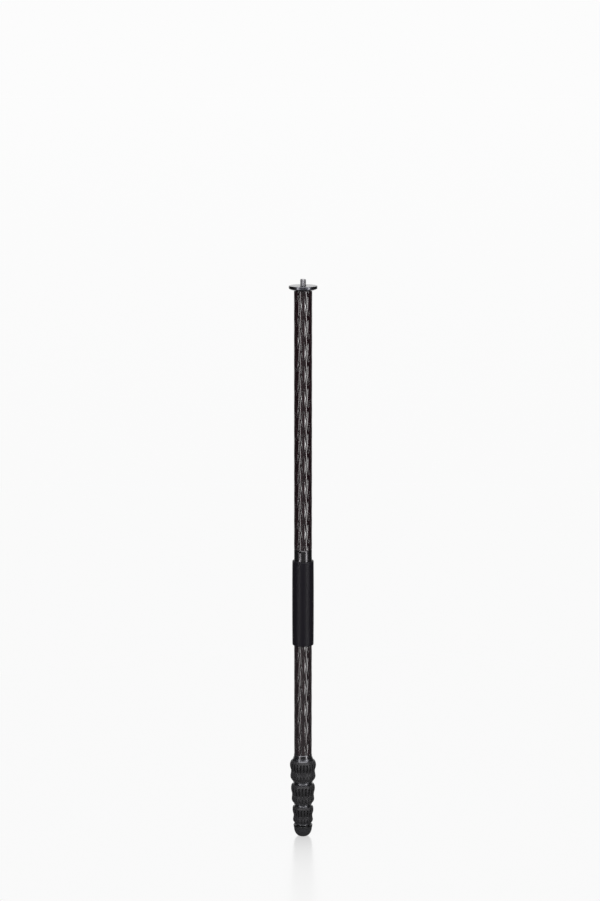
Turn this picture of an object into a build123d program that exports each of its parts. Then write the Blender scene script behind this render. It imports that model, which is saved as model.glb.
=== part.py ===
from build123d import *
from math import cos, pi, radians, sin
import os

# A collapsible camera pole: a tripod's centre column screwed onto the tripod's detachable leg.
# Millimetres, +Z up, origin on the floor under the ball foot, pole standing on the Z axis.

# Clearances
bond_gap = 0.05          # glue line between two pieces of one section
running_gap = 0.10       # radial play of a turning or sliding fit
face_gap = 0.10          # axial play between two pieces that turn on each other
thread_gap = 0.08        # radial play of a thread, drawn as plain cylinders

# Tubes: the widest carries the grip, and each one below slides inside the one above
tube_diameter = 28.0
tube_wall = 1.1
tube_gap = 0.4           # radial gap from one tube to the next
tube_end_turning = 0.3   # taken off the outside of a tube's end, under its ferrule
tube_top_gap = 2.0       # from the collar's spigot down to the tops of the inner tubes

# Heights of the stack, from the floor up
foot_height = 19.0
foot_clearance = 2.0     # between the foot and the lowest lock
lock_heights = [39.5, 36.0, 32.0]
lock_clearance = 1.0     # between one lock and the next
bare_tube_height = 184.0   # from the top of the upper lock to the grip
grip_length = 135.2
collar_height = 17.8     # bare metal between the grip and the seam
column_length = 412.0    # from the seam to the platform's top
camera_stud_height = 10.0

# Camera stud and joint stud, 3/8 inch with 16 threads to the inch
stud_diameter = 9.525
stud_pitch = 1.5875
stud_tip_chamfer = 0.9
stud_slot_width = 1.4
stud_slot_depth = 1.6
camera_stud_hold = 12.0  # length inside the platform
camera_stud_shank_radius = 4.2   # plain shank inside the platform
camera_stud_countersink = 0.5    # countersink's mouth over the stud, radially
joint_stud_hold = 14.0   # length inside the leg's collar
joint_stud_turns = 6     # turns that unscrew the column

# Top platform
platform_diameter = 44.0
platform_rim_height = 5.1
platform_under_height = 2.5
platform_edge_chamfer = 0.5
platform_under_radius = 14.8
platform_spigot_length = 24.0
platform_spigot_wall = 3.0

# Column
column_wall = 1.5
insert_length = 30.0
insert_thread_depth = 14.0
insert_bore_radius = 8.5
washer_thickness = 0.5
washer_setback = 0.5
washer_bore_radius = 6.0

# Leg collar, with the set screw that holds the joint stud
collar_hidden_height = 3.0   # under the grip's upper edge
collar_spigot_length = 25.0
collar_bore_radius = 8.5
collar_edge_chamfer = 0.5
set_screw_diameter = 3.0
set_screw_drop = 2.3     # below the seam
set_screw_angle = -108.0
set_screw_recess = 0.4
set_screw_socket = 1.5   # across the flats
set_screw_socket_depth = 1.5

# Grip
grip_wall = 2.7
grip_crown = 0.25        # swell of the grip at its middle
grip_edge = 1.6          # height of the rounded ends
grip_edge_draw = 1.0     # how far the ends draw in

# Twist locks, the upper one first
ferrule_band = 5.4       # ferrule that shows above the lock
ferrule_band_rise = 0.1  # ferrule over tube, radially
ferrule_thread_rise = 0.5
ferrule_thread_drop = 2.0    # from the lock's top to the thread
ferrule_lip = 3.5        # ledge that the tube's end sits on
ferrule_lip_rise = 0.4   # ledge's bore over the tube's bore
ferrule_mouth_wall = 0.6
ferrule_bottom_gap = 0.6     # between the ferrule and the collet's flange
tube_end_drop = 14.5     # from the lock's top to the tube's end
nut_wall = 1.2
nut_top_radius_rise = 1.2    # nut's top edge over the tube
nut_recess_depth = 6.0   # room in the nut's foot for the next ferrule
nut_recess_rise = 0.7    # that room over the ferrule band it takes in
nut_floor = 1.6          # floor of the lowest nut, which takes in no ferrule
nut_edge_chamfer = 0.25
ring_heights = [4.6, 3.4, 3.2]
ring_radii = [17.0, 16.2, 14.5]
ring_break_share = 0.6   # of the ring's height, where its slope breaks
ring_break_rise = 2.0    # radius at that break over the tube
lip_heights = [1.8, 2.0, 2.8]
lip_radii = [16.0, 14.4, 13.5]
crest_radii = [20.65, 18.9, 16.5]
crest_drops = [13.2, 10.8, 9.8]
waist_radii = [18.9, 17.25, 14.85]
waist_drops = [22.3, 21.0, 18.7]
low_crest_radii = [19.95, 17.9, 15.85]
low_crest_drops = [31.3, 28.5, 26.0]
rubber_step = 0.3        # rubber over the nut's ring
rubber_end_thickness = 0.9
flute_counts = [23, 21, 20]
flute_phases = [3.9, -2.6, 9.0]
flute_radius = 1.0
flute_bed_rise = 0.3     # flute's bed over the waist
lock_pitch = 2.0
lock_turn = 120.0        # degrees from tight to loose

# Collets and dust seals
collet_flange = 2.5
collet_tip_wall = 0.6
collet_slots = 6
collet_slot_width = 1.2
collet_slot_share = 0.75     # of the collet's height above its flange
seal_thickness = 2.0

# Anti-twist shims at the top of each sliding tube
shim_length = 40.0
shim_parting = 3.0       # gap between the two half shells
shim_rib_width = 2.6
shim_rib_rise = 0.2      # rib over the outer tube's bore
shim_groove_width = 3.0
shim_groove_depth = 0.35
shim_peg_radius = 1.5
shim_peg_drop = 12.0     # from the tube's top to the peg
stop_gap = 0.5           # left between shims and collet at full length

# Foot
foot_plate_radius = 15.0
foot_plate_height = 2.0
foot_lip_radius = 14.8
foot_lip_height = 1.8
foot_ball_radius = 14.2
foot_flat_radius = 3.0
foot_anchor_radius = 8.0
foot_anchor_height = 1.5
foot_anchor_neck_radius = 5.5
foot_anchor_depth = 7.0
foot_stud_length = 12.0
plug_flange_height = 1.5
plug_length = 24.0
plug_end_clearance = 3.0

# Stack of heights worked out from the sizes above
lock_count = len(lock_heights)
tube_radii = [tube_diameter / 2 - i * (tube_wall + tube_gap) for i in range(lock_count + 1)]
bore_radii = [radius - tube_wall for radius in tube_radii]
lock_bottoms = [0.0] * lock_count
lock_tops = [0.0] * lock_count
base = foot_height + foot_clearance
for i in reversed(range(lock_count)):
    lock_bottoms[i] = base
    lock_tops[i] = base + lock_heights[i]
    base = lock_tops[i] + lock_clearance
grip_bottom = lock_tops[0] + bare_tube_height
grip_top = grip_bottom + grip_length
seam = grip_top + collar_height
collar_flange_bottom = grip_top - collar_hidden_height
collar_spigot_bottom = collar_flange_bottom - collar_spigot_length
inner_tube_top = collar_spigot_bottom - tube_top_gap
column_bottom = seam + washer_thickness + 2 * face_gap
platform_top = seam + column_length
platform_bottom = platform_top - platform_rim_height - platform_under_height
stud_radius = stud_diameter / 2

parts = {}


def turned(*outline):
    """A piece turned on the pole's axis, from its (radius, height) outline."""
    section = make_face(Plane.XZ * Polyline(*outline, close=True))
    return revolve(section, Axis.Z)


def turned_curve(*edges):
    """A piece turned on the pole's axis, from outline edges in the XZ plane."""
    outline = Wire([edge for piece in edges for edge in piece.edges()])
    section = make_face(Plane.XZ * outline)
    return revolve(section, Axis.Z)


def upright(radius, height, x=0.0, y=0.0, z=0.0):
    """A cylinder along Z that stands on height z."""
    return Pos(x, y, z) * Cylinder(radius, height, align=(Align.CENTER, Align.CENTER, Align.MIN))


def radial_rod(radius, inner, outer, angle, height):
    """A cylinder that points out from the axis at an angle, from one radius to another."""
    direction = Vector(cos(radians(angle)), sin(radians(angle)), 0)
    start = direction * inner + Vector(0, 0, height)
    rod = Cylinder(radius, outer - inner, align=(Align.CENTER, Align.CENTER, Align.MIN))
    return Plane(origin=start, z_dir=direction) * rod


def slab(inner, outer, width, bottom, top, angle):
    """A flat slab that runs out from the axis at an angle."""
    block = Box(outer - inner, width, top - bottom, align=(Align.MIN, Align.CENTER, Align.MIN))
    return Rot(0, 0, angle) * Pos(inner, 0, bottom) * block


def make_column():
    """Camera stud, platform, tube and the threaded insert at the column's foot."""
    tube_radius = tube_radii[0]
    bore = tube_radius - column_wall
    spigot = bore - bond_gap
    shank = camera_stud_shank_radius
    hole = shank + bond_gap
    rim = platform_diameter / 2
    chamfer = platform_edge_chamfer
    rim_bottom = platform_top - platform_rim_height
    mouth = stud_radius + camera_stud_countersink
    stud_bottom = platform_top - camera_stud_hold
    boss_bottom = stud_bottom - platform_spigot_wall
    spigot_bore = spigot - platform_spigot_wall

    stud_top = platform_top + camera_stud_height
    camera_stud = turned(
        (0, stud_bottom),
        (shank, stud_bottom),
        (shank, platform_top),
        (stud_radius, platform_top),
        (stud_radius, stud_top - stud_tip_chamfer),
        (stud_radius - stud_tip_chamfer, stud_top),
        (0, stud_top),
    )
    slot_bottom = stud_top - stud_slot_depth
    slot = slab(-stud_radius, stud_radius, stud_slot_width, slot_bottom, stud_top + 1, 0)
    parts["camera_stud"] = camera_stud - slot
    parts["top_platform"] = turned(
        (hole, platform_top - (mouth - hole)),
        (mouth, platform_top),
        (rim - chamfer, platform_top),
        (rim, platform_top - chamfer),
        (rim, rim_bottom + 2 * chamfer),
        (rim - 2 * chamfer, rim_bottom),
        (platform_under_radius, platform_bottom),
        (spigot, platform_bottom),
        (spigot, platform_bottom - platform_spigot_length),
        (spigot_bore, platform_bottom - platform_spigot_length),
        (spigot_bore, boss_bottom),
        (hole, boss_bottom),
    )
    parts["column_tube"] = turned(
        (bore, column_bottom),
        (tube_radius, column_bottom),
        (tube_radius, platform_bottom),
        (bore, platform_bottom),
    )
    thread = stud_radius + thread_gap
    thread_top = column_bottom + insert_thread_depth
    insert_top = column_bottom + insert_length
    parts["column_end_insert"] = turned(
        (thread, column_bottom),
        (spigot, column_bottom),
        (spigot, insert_top),
        (insert_bore_radius, insert_top),
        (insert_bore_radius, thread_top),
        (thread, thread_top),
    )
    washer_bottom = seam + face_gap
    parts["joint_washer"] = turned(
        (washer_bore_radius, washer_bottom),
        (tube_radius - washer_setback, washer_bottom),
        (tube_radius - washer_setback, washer_bottom + washer_thickness),
        (washer_bore_radius, washer_bottom + washer_thickness),
    )


def make_leg_top():
    """Collar, joint stud and set screw at the leg's head."""
    tube_radius = tube_radii[0]
    spigot = bore_radii[0] - bond_gap
    hole = stud_radius + bond_gap
    chamfer = collar_edge_chamfer
    stud_bottom = seam - joint_stud_hold
    collar = turned(
        (hole, seam),
        (tube_radius - chamfer, seam),
        (tube_radius, seam - chamfer),
        (tube_radius, collar_flange_bottom),
        (spigot, collar_flange_bottom),
        (spigot, collar_spigot_bottom),
        (collar_bore_radius, collar_spigot_bottom),
        (collar_bore_radius, stud_bottom),
        (hole, stud_bottom),
    )
    screw_height = seam - set_screw_drop
    screw_radius = set_screw_diameter / 2
    screw_outer = tube_radius - set_screw_recess
    hole_radius = screw_radius + bond_gap
    collar -= radial_rod(hole_radius, stud_radius, tube_radius + 1, set_screw_angle, screw_height)
    parts["leg_top_collar"] = collar

    stud_top = seam + joint_stud_turns * stud_pitch
    tip = stud_radius - stud_tip_chamfer
    parts["joint_stud"] = turned(
        (0, stud_bottom),
        (tip, stud_bottom),
        (stud_radius, stud_bottom + stud_tip_chamfer),
        (stud_radius, stud_top - stud_tip_chamfer),
        (tip, stud_top),
        (0, stud_top),
    )

    screw = radial_rod(screw_radius, stud_radius + bond_gap, screw_outer, set_screw_angle, screw_height)
    direction = Vector(cos(radians(set_screw_angle)), sin(radians(set_screw_angle)), 0)
    mouth = Plane(origin=direction * screw_outer + Vector(0, 0, screw_height), z_dir=direction)
    hexagon = RegularPolygon(set_screw_socket / 2, 6, major_radius=False)
    parts["collar_set_screw"] = screw - extrude(mouth * hexagon, -set_screw_socket_depth)


def make_grip():
    """The rubber sleeve that the hand holds."""
    inner = tube_radii[0] + bond_gap
    outer = tube_radii[0] + grip_wall
    middle = (grip_bottom + grip_top) / 2
    low, high = grip_bottom + grip_edge, grip_top - grip_edge
    parts["grip_sleeve"] = turned_curve(
        Line((inner, grip_bottom), (outer - grip_edge_draw, grip_bottom)),
        RadiusArc((outer - grip_edge_draw, grip_bottom), (outer, low), -grip_edge * 1.5),
        ThreePointArc((outer, low), (outer + grip_crown, middle), (outer, high)),
        RadiusArc((outer, high), (outer - grip_edge_draw, grip_top), -grip_edge * 1.5),
        Line((outer - grip_edge_draw, grip_top), (inner, grip_top)),
        Line((inner, grip_top), (inner, grip_bottom)),
    )


def tube_bottom(index):
    """Height of a leg tube's lower end: inside its lock, or on the foot's plug."""
    if index < lock_count:
        return lock_tops[index] - tube_end_drop
    return foot_height + plug_flange_height


def make_leg_tube(index):
    """One leg tube, with its grooves, turned end and peg holes."""
    outer, bore = tube_radii[index], bore_radii[index]
    bottom = tube_bottom(index)
    top = collar_flange_bottom if index == 0 else inner_tube_top
    if index < lock_count:
        turned_radius = outer - tube_end_turning
        turned_top = lock_tops[index] + ferrule_band
        tube = turned(
            (bore, bottom),
            (turned_radius, bottom),
            (turned_radius, turned_top),
            (outer, turned_top),
            (outer, top),
            (bore, top),
        )
        groove = bore + shim_groove_depth
        for angle in (0, 180):
            tube -= slab(bore - 1, groove, shim_groove_width, bottom - 1, top + 1, angle)
    else:
        tube = turned((bore, bottom), (outer, bottom), (outer, top), (bore, top))
    if index > 0:
        for angle in (0, 180):
            tube -= radial_rod(
                shim_peg_radius + bond_gap, bore - 1, outer + 1, angle, top - shim_peg_drop
            )
    parts[f"leg_tube_{index + 1}"] = tube


def make_shims(index):
    """Two half shells on the top of a sliding tube, each with a peg and a rib."""
    inner = tube_radii[index] + bond_gap
    outer = bore_radii[index - 1] - running_gap
    rib = bore_radii[index - 1] + shim_rib_rise
    top = inner_tube_top
    bottom = top - shim_length
    shell = turned((inner, bottom), (outer, bottom), (outer, top), (inner, top))
    shell -= slab(-outer - 1, outer + 1, shim_parting, bottom - 1, top + 1, 90)
    ribs = [slab(inner, rib, shim_rib_width, bottom, top, angle) for angle in (0, 180)]
    peg_end = bore_radii[index] + shim_groove_depth
    pegs = [
        radial_rod(shim_peg_radius, peg_end, inner + bond_gap, angle, top - shim_peg_drop)
        for angle in (0, 180)
    ]
    bed = upright(inner, shim_length + 2, z=bottom - 1)
    ribs = [rib_slab - bed for rib_slab in ribs]
    shims = shell + ribs + pegs
    parts[f"anti_twist_shims_{index + 1}"] = shims


def nut_shoulder(index):
    """Height of the ledge inside a lock nut, which carries the dust seal."""
    if index < lock_count - 1:
        return lock_bottoms[index] + nut_recess_depth
    return lock_bottoms[index] + nut_floor


def collet_bottom(index):
    """Height of the underside of a collet's flange."""
    return nut_shoulder(index) + seal_thickness + 2 * face_gap


def ferrule_bottom(index):
    """Height of the lower edge of a ferrule."""
    return collet_bottom(index) + collet_flange + ferrule_bottom_gap


def cone_top(index):
    """Height where the ferrule's cone meets the ledge under the tube's end."""
    return lock_tops[index] - tube_end_drop - ferrule_lip


def ferrule_mouth(index):
    """Radius of the ferrule's cone at its open lower end."""
    return tube_radii[index] + ferrule_thread_rise - ferrule_mouth_wall


def make_ferrule(index):
    """Threaded ring glued over a tube's lower end, with the collet's cone in its mouth."""
    tube_radius = tube_radii[index]
    band = tube_radius + ferrule_band_rise
    thread = tube_radius + ferrule_thread_rise
    bond = tube_radius - tube_end_turning + bond_gap
    lip = bore_radii[index] + ferrule_lip_rise
    top = lock_tops[index]
    tube_end = top - tube_end_drop
    parts[f"ferrule_{index + 1}"] = turned(
        (bond, top + ferrule_band),
        (band - nut_edge_chamfer / 2, top + ferrule_band),
        (band, top + ferrule_band - nut_edge_chamfer),
        (band, top - ferrule_thread_drop),
        (thread, top - ferrule_thread_drop - nut_edge_chamfer),
        (thread, ferrule_bottom(index)),
        (ferrule_mouth(index), ferrule_bottom(index)),
        (lip, cone_top(index)),
        (lip, tube_end),
        (bond, tube_end),
    )


def make_collet(index):
    """Slotted taper bush that the nut squeezes onto the sliding tube, and its dust seal."""
    bore = tube_radii[index + 1] + running_gap
    flange = nut_bore(index) - running_gap
    bottom = collet_bottom(index)
    flange_top = bottom + collet_flange
    tip = cone_top(index) - face_gap
    mouth = ferrule_mouth(index) - running_gap
    tip_radius = bore_radii[index] + ferrule_lip_rise - running_gap
    collet = turned(
        (bore, bottom),
        (flange, bottom),
        (flange, flange_top),
        (mouth, flange_top),
        (mouth, ferrule_bottom(index)),
        (tip_radius, tip),
        (bore, tip),
    )
    slot_bottom = tip - collet_slot_share * (tip - flange_top)
    for k in range(collet_slots):
        angle = 90 + 360 * k / collet_slots
        slot_low = bottom - 1 if k == 0 else slot_bottom
        collet -= slab(bore - 1, flange + 1, collet_slot_width, slot_low, tip + 1, angle)
    parts[f"collet_{index + 1}"] = collet

    seal_low = nut_shoulder(index) + face_gap
    parts[f"dust_seal_{index + 1}"] = turned(
        (bore, seal_low),
        (flange, seal_low),
        (flange, seal_low + seal_thickness),
        (bore, seal_low + seal_thickness),
    )


def nut_bore(index):
    """Radius of the nut's threaded bore."""
    return tube_radii[index] + ferrule_thread_rise + thread_gap


def make_lock_nut(index):
    """Metal nut with its chamfered top ring and bottom lip."""
    bore = nut_bore(index)
    core = bore + nut_wall
    top, bottom = lock_tops[index], lock_bottoms[index]
    ring_bottom = top - ring_heights[index]
    lip_top = bottom + lip_heights[index]
    if index < lock_count - 1:
        recess = tube_radii[index + 1] + ferrule_band_rise + nut_recess_rise
    else:
        recess = tube_radii[index + 1] + nut_recess_rise
    parts[f"lock_nut_{index + 1}"] = turned(
        (bore, top),
        (tube_radii[index] + nut_top_radius_rise, top),
        (tube_radii[index] + ring_break_rise, top - ring_break_share * ring_heights[index]),
        (ring_radii[index], ring_bottom),
        (core, ring_bottom),
        (core, lip_top),
        (lip_radii[index], lip_top),
        (lip_radii[index], bottom + nut_edge_chamfer),
        (lip_radii[index] - nut_edge_chamfer, bottom),
        (recess, bottom),
        (recess, nut_shoulder(index)),
        (bore, nut_shoulder(index)),
    )


def make_lock_grip(index):
    """Fluted rubber sleeve on a lock nut, with two swells and a waist."""
    inner = nut_bore(index) + nut_wall + bond_gap
    top = lock_tops[index]
    upper = top - ring_heights[index]
    lower = lock_bottoms[index] + lip_heights[index]
    start = ring_radii[index] + rubber_step
    end = max(inner, lip_radii[index]) + rubber_end_thickness
    outline = Spline(
        (start, upper),
        (crest_radii[index], top - crest_drops[index]),
        (waist_radii[index], top - waist_drops[index]),
        (low_crest_radii[index], top - low_crest_drops[index]),
        (end, lower),
        tangents=[(1.0, -0.8), (-0.75, -1.0)],
    )
    sleeve = turned_curve(
        outline,
        Line((end, lower), (inner, lower)),
        Line((inner, lower), (inner, upper)),
        Line((inner, upper), (start, upper)),
    )
    bed = waist_radii[index] + flute_bed_rise
    axis_radius = bed + flute_radius
    flutes = []
    for k in range(flute_counts[index]):
        angle = radians(-90 + flute_phases[index] + 360 * k / flute_counts[index])
        x, y = axis_radius * cos(angle), axis_radius * sin(angle)
        flutes.append(upright(flute_radius, upper - lower + 2, x, y, lower - 1))
    parts[f"lock_grip_{index + 1}"] = sleeve - flutes


def make_foot():
    """Plug in the last tube, the stud plate it carries, and the rubber ball moulded round that."""
    tube_radius = tube_radii[lock_count]
    spigot = bore_radii[lock_count] - bond_gap
    hole = stud_radius + thread_gap
    plate_bottom = foot_height - foot_plate_height
    plug_top = foot_height + plug_length
    stud_top = foot_height + foot_stud_length
    parts["foot_plug"] = turned(
        (hole, foot_height),
        (tube_radius, foot_height),
        (tube_radius, foot_height + plug_flange_height),
        (spigot, foot_height + plug_flange_height),
        (spigot, plug_top),
        (0, plug_top),
        (0, stud_top + plug_end_clearance),
        (hole, stud_top + plug_end_clearance),
    )
    anchor_bottom = plate_bottom - foot_anchor_depth
    parts["foot_stud"] = turned(
        (0, anchor_bottom),
        (foot_anchor_radius, anchor_bottom),
        (foot_anchor_radius, anchor_bottom + foot_anchor_height),
        (foot_anchor_neck_radius, anchor_bottom + foot_anchor_height),
        (foot_anchor_neck_radius, plate_bottom),
        (foot_plate_radius, plate_bottom),
        (foot_plate_radius, foot_height),
        (stud_radius, foot_height),
        (stud_radius, stud_top - stud_tip_chamfer),
        (stud_radius - stud_tip_chamfer, stud_top),
        (0, stud_top),
    )
    lip_bottom = plate_bottom - foot_lip_height
    ball_centre = foot_ball_radius
    flat = foot_flat_radius
    side = foot_ball_radius * cos(pi / 4)
    gap = bond_gap
    parts["rubber_foot"] = turned_curve(
        Line((0, 0), (flat, 0)),
        ThreePointArc((flat, 0), (side, ball_centre - side), (foot_ball_radius, ball_centre)),
        Line((foot_ball_radius, ball_centre), (foot_lip_radius, lip_bottom)),
        Line((foot_lip_radius, lip_bottom), (foot_lip_radius, plate_bottom)),
        Line((foot_lip_radius, plate_bottom), (foot_anchor_neck_radius + gap, plate_bottom)),
        Polyline(
            (foot_anchor_neck_radius + gap, plate_bottom),
            (foot_anchor_neck_radius + gap, anchor_bottom + foot_anchor_height + gap),
            (foot_anchor_radius + gap, anchor_bottom + foot_anchor_height + gap),
            (foot_anchor_radius + gap, anchor_bottom - gap),
            (0, anchor_bottom - gap),
            (0, 0),
        ),
    )


make_column()
make_leg_top()
make_grip()
for number in range(lock_count + 1):
    make_leg_tube(number)
for number in range(lock_count):
    make_ferrule(number)
    make_collet(number)
    make_lock_nut(number)
    make_lock_grip(number)
    make_shims(number + 1)
make_foot()

os.makedirs("parts", exist_ok=True)
for name, solid in parts.items():
    export_step(solid, f"parts/{name}.step")

# Travels that the joints use
shim_bottom = inner_tube_top - shim_length
for number in range(lock_count):
    travel = shim_bottom - (cone_top(number) - face_gap) - stop_gap
    print(f"section {number + 2} slides {travel:.1f} mm")
print(f"lock travel {lock_pitch * lock_turn / 360:.3f} mm over {lock_turn:.0f} degrees")
print(f"column unscrews {joint_stud_turns} turns, {joint_stud_turns * stud_pitch:.3f} mm")
print(f"seam {seam:.1f}, platform top {platform_top:.1f}, height {platform_top + camera_stud_height:.1f}")
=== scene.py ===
"""Looks of a camera pole: a tripod's centre column screwed onto the tripod's detachable leg.

Each sub-assembly is a class that turns its pieces on the pole's axis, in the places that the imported
frame gives. Sizes are millimetres; the meshes are metres, upright on +Z, with the floor at zero.
"""

from __future__ import annotations

import logging
import math
from dataclasses import dataclass
from enum import Enum
from typing import Sequence, Union

import bmesh
import bpy
from mathutils import Matrix, Vector
from mathutils.geometry import interpolate_bezier

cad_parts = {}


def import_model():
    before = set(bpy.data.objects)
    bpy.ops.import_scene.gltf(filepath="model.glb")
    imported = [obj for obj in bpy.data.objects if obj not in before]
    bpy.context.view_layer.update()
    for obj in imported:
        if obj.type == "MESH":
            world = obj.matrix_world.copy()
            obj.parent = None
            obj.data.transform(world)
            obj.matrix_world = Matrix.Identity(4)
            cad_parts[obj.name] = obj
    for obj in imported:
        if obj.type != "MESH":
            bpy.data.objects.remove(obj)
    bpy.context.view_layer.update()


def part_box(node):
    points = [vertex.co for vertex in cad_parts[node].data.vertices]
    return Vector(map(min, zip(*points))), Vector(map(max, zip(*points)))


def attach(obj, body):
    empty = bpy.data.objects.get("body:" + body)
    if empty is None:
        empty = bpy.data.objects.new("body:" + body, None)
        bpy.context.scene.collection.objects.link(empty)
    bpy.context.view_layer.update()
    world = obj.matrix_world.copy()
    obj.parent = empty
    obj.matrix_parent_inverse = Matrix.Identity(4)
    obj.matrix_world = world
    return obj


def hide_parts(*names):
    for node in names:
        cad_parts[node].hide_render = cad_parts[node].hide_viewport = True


MM = 0.001
FULL_TURN = 2.0 * math.pi
INCH = 25.4
# Camera thread: 3/8 inch across, 16 turns to the inch, flanks at 60 degrees to each other.
STUD_RADIUS = INCH * 3 / 16
STUD_PITCH = INCH / 16
THREAD_DEPTH = 0.5413
HALF_FLANK = math.radians(30.0)
# Clearance between pieces that fit into each other.
FIT = 0.05
LOG = logging.getLogger("camera_pole")

Value = Union[float, tuple, bpy.types.NodeSocket, bpy.types.Node]


class Rounding(Enum):
    """How far a turned corner is rounded, in millimetres."""

    SHARP = 0.0
    HONED = 0.12
    BROKEN = 0.25
    SOFT = 0.5
    MOULDED = 0.9


class Slot(Enum):
    """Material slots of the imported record."""

    STUD = "stud_steel"
    SCREW = "screw_steel"
    PLATFORM = "platform_metal"
    COLLAR = "collar_metal"
    FERRULE = "ferrule_metal"
    LOCK = "lock_metal"
    FOOT_PLATE = "foot_metal"
    CARBON = "carbon_tube"
    WASHER = "washer_plastic"
    GRIP = "grip_rubber"
    LOCK_GRIP = "lock_rubber"
    FOOT_BALL = "foot_rubber"


@dataclass(frozen=True)
class Corner:
    """One corner of a turned outline: radius and height in millimetres, and its rounding."""

    radius: float
    height: float
    rounding: Rounding = Rounding.SHARP


def linear(hex_colour: str) -> tuple[float, float, float, float]:
    """Turn an sRGB hex colour into linear light.

    Args:
        hex_colour: six hex digits after a hash sign.

    Returns:
        Red, green, blue and an alpha of 1.
    """
    parts = [int(hex_colour[i : i + 2], 16) / 255.0 for i in (1, 3, 5)]
    light = [c / 12.92 if c <= 0.04045 else ((c + 0.055) / 1.055) ** 2.4 for c in parts]
    return (light[0], light[1], light[2], 1.0)


def add_node(
    tree: bpy.types.NodeTree,
    kind: str,
    sockets: dict[Union[str, int], Value] | None = None,
    **settings: object,
) -> bpy.types.Node:
    """Add one node with its settings, and give its inputs values or links.

    Args:
        tree: node tree that gets the node.
        kind: node type without its ShaderNode prefix.
        sockets: input name or number, with the value, output socket or node that it takes. A node
            gives the first output that it shows.
        settings: attributes of the node, such as operation.

    Returns:
        The new node.
    """
    node = tree.nodes.new("ShaderNode" + kind)
    for name, setting in settings.items():
        setattr(node, name, setting)
    for name, value in (sockets or {}).items():
        if isinstance(value, bpy.types.Node):
            value = next(output for output in value.outputs if output.enabled)
        if isinstance(value, bpy.types.NodeSocket):
            tree.links.new(value, node.inputs[name])
        else:
            node.inputs[name].default_value = value
    return node


@dataclass(frozen=True)
class Finish:
    """A surface, named for its material and how it was made."""

    name: str
    colour: str
    roughness: float

    def material(self) -> bpy.types.Material:
        """Make the finish's material on first use.

        Returns:
            The material, named after the finish.
        """
        known = bpy.data.materials.get(self.name)
        if known is not None:
            return known
        made = bpy.data.materials.new(self.name)
        made.use_nodes = True
        made.diffuse_color = linear(self.colour)
        tree = made.node_tree
        tree.nodes.clear()
        place = add_node(tree, "TexCoord").outputs["Object"]
        shader = add_node(tree, "BsdfPrincipled", self.surface(tree, place))
        add_node(tree, "OutputMaterial", {"Surface": shader})
        return made

    def surface(self, tree: bpy.types.NodeTree, place: bpy.types.NodeSocket) -> dict[str, Value]:
        """Give the shader one colour and one gloss."""
        return {"Base Color": linear(self.colour), "Roughness": self.roughness}


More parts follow.
